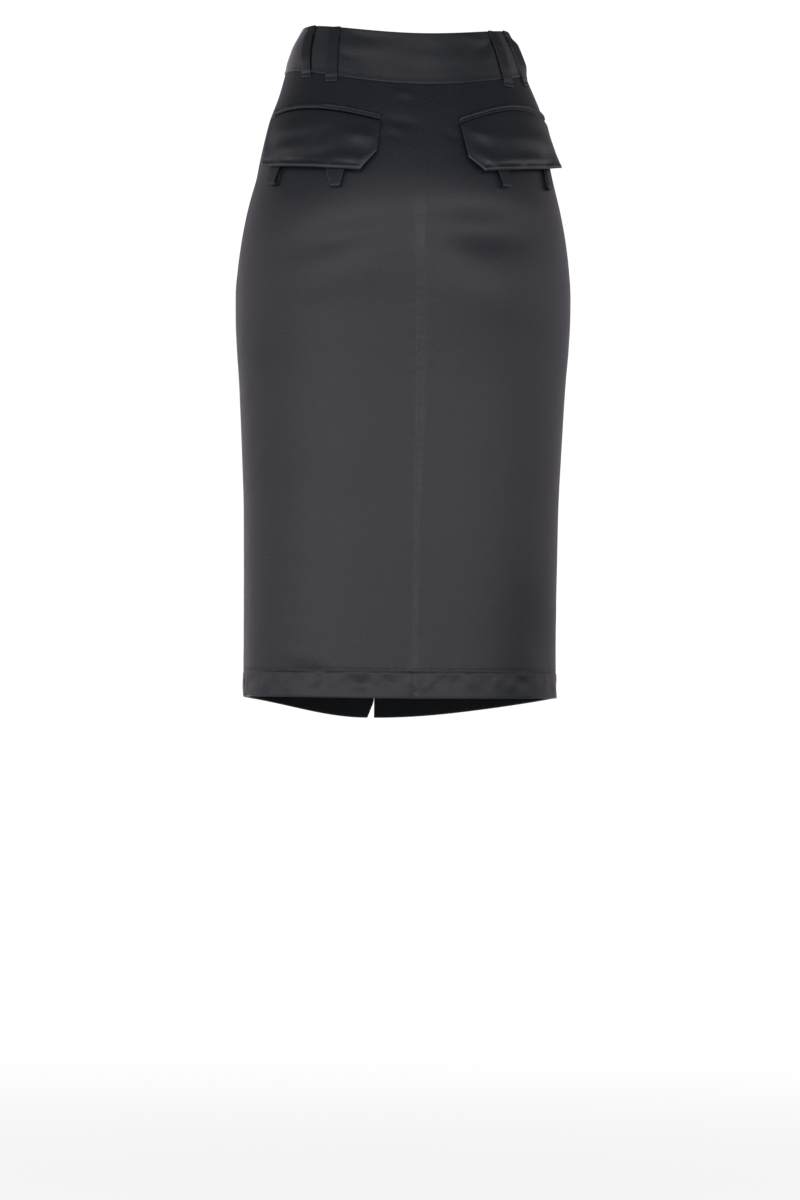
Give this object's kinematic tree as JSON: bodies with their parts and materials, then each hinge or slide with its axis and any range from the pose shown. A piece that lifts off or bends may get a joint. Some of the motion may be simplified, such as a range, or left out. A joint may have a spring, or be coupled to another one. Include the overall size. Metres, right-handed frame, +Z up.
{
  "type": "satin pencil skirt",
  "caption": "Worn below-knee satin pencil skirt: hollow tapered tube with a wide contoured waistband, belt loops, pocket flaps over hanging strap loops at the back, and a centre-front slit.",
  "frame": {"origin": "centre of the waist, on the skirt's axis, 25 mm below the top of the waistband at the side seams", "axes": "+Z up, the front faces -Y, the wearer's left is +X"},
  "size_m": [0.3456, 0.2599, 0.7095],
  "materials": {
    "satin": "heavy black satin with a soft sheen",
    "zip_tape": "woven black tape with a nylon chain",
    "zip_metal": "black enamelled metal",
    "button": "black, polished"
  },
  "bodies": {
    "root": {"waistband": "satin", "back_left": "satin", "back_right": "satin", "front_left": "satin", "front_right": "satin", "flap_left": "satin", "flap_right": "satin", "welt_left": "satin", "welt_right": "satin", "belt_loop_back_inner_left": "satin", "belt_loop_back_inner_right": "satin", "belt_loop_back_outer_left": "satin", "belt_loop_back_outer_right": "satin", "belt_loop_front_inner_left": "satin", "belt_loop_front_inner_right": "satin", "belt_loop_front_outer_left": "satin", "belt_loop_front_outer_right": "satin", "strap_loop_inner_left": "satin", "strap_loop_inner_right": "satin", "strap_loop_outer_left": "satin", "strap_loop_outer_right": "satin", "fly_shield": "satin", "zip": "zip_tape", "zip_slider": "zip_metal", "zip_pull": "zip_metal", "button": "button"}
  },
  "joints": []
}
